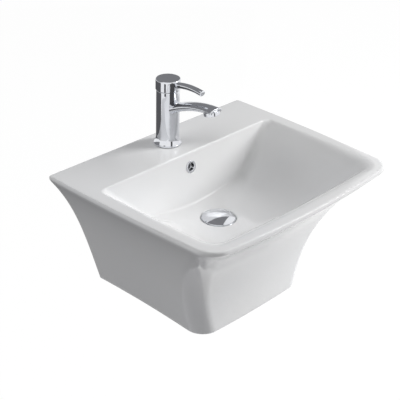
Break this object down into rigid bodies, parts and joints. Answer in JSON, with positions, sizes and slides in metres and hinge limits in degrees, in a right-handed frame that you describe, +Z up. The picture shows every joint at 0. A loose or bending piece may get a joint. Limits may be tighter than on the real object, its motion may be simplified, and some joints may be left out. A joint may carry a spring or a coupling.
{
  "type": "washbasin",
  "caption": "White ceramic wall washbasin with flared one-piece shroud, chrome single-lever mixer tap, push-open waste and overflow ring.",
  "frame": {"origin": "midway between the two wall fixing holes, on the wall plane", "axes": "+X along the wall, to the right of a person who stands in front of the basin and faces the wall; +Y into the wall; +Z up"},
  "size_m": [0.4984, 0.41, 0.403],
  "materials": {
    "glaze": "smooth white glaze, high gloss",
    "chrome": "polished chrome plate",
    "brass": "turned brass, unplated",
    "steel": "plain stainless steel",
    "plastic": "moulded light grey plastic",
    "rubber": "black rubber",
    "disc": "ground ceramic"
  },
  "bodies": {
    "basin": {"basin_body": "glaze", "basin_shroud": "glaze", "overflow_channel": "glaze", "wall_bushes": "plastic", "overflow_ring": "chrome", "waste_body": "chrome", "waste_top_seal": "rubber", "waste_cone_seal": "rubber", "waste_slip_washer": "plastic", "waste_nut": "brass", "click_housing": "plastic", "click_spring": "steel", "tap_body": "chrome", "tap_spout": "chrome", "tap_base_ring": "chrome", "tap_base_seal": "rubber", "tap_stud": "brass", "tap_clamp_seal": "rubber", "tap_clamp_plate": "steel", "tap_nut": "brass", "aerator_housing": "chrome", "aerator_insert": "plastic", "aerator_seal": "rubber", "cartridge_housing": "plastic", "cartridge_seals": "rubber", "fixed_disc": "disc", "cartridge_nut": "brass", "cartridge_dome": "chrome"},
    "rotor": {"cartridge_rotor": "plastic", "lever_pin": "steel"},
    "lever": {"lever_cap": "chrome", "lever_arm": "chrome", "lever_grub_screw": "steel", "cartridge_stem": "steel"},
    "disc": {"moving_disc": "disc"},
    "plug": {"plug_stem": "brass", "plug_cover": "chrome", "plug_seal": "rubber"}
  },
  "joints": [
    {"name": "lever_swivel", "type": "hinge", "parent": "basin", "child": "rotor", "pos_m": [0, -0.0496, 0.1677], "axis": [0, 0, 1], "range_deg": [-50, 50]},
    {"name": "lever_lift", "type": "hinge", "parent": "rotor", "child": "lever", "pos_m": [0, -0.0496, 0.1677], "axis": [-1, 0, 0], "range_deg": [0, 24]},
    {"name": "disc_slide", "type": "slide", "parent": "rotor", "child": "disc", "axis": [0, -1, 0], "range_m": [0, 0.0056]},
    {"name": "plug_lift", "type": "slide", "parent": "basin", "child": "plug", "axis": [0, 0, 1], "range_m": [0, 0.009], "deforming": ["click_spring"]}
  ],
  "couplings": [
    {"joint": "disc_slide", "follows": "lever_lift", "m_per_rad": 0.01311}
  ]
}
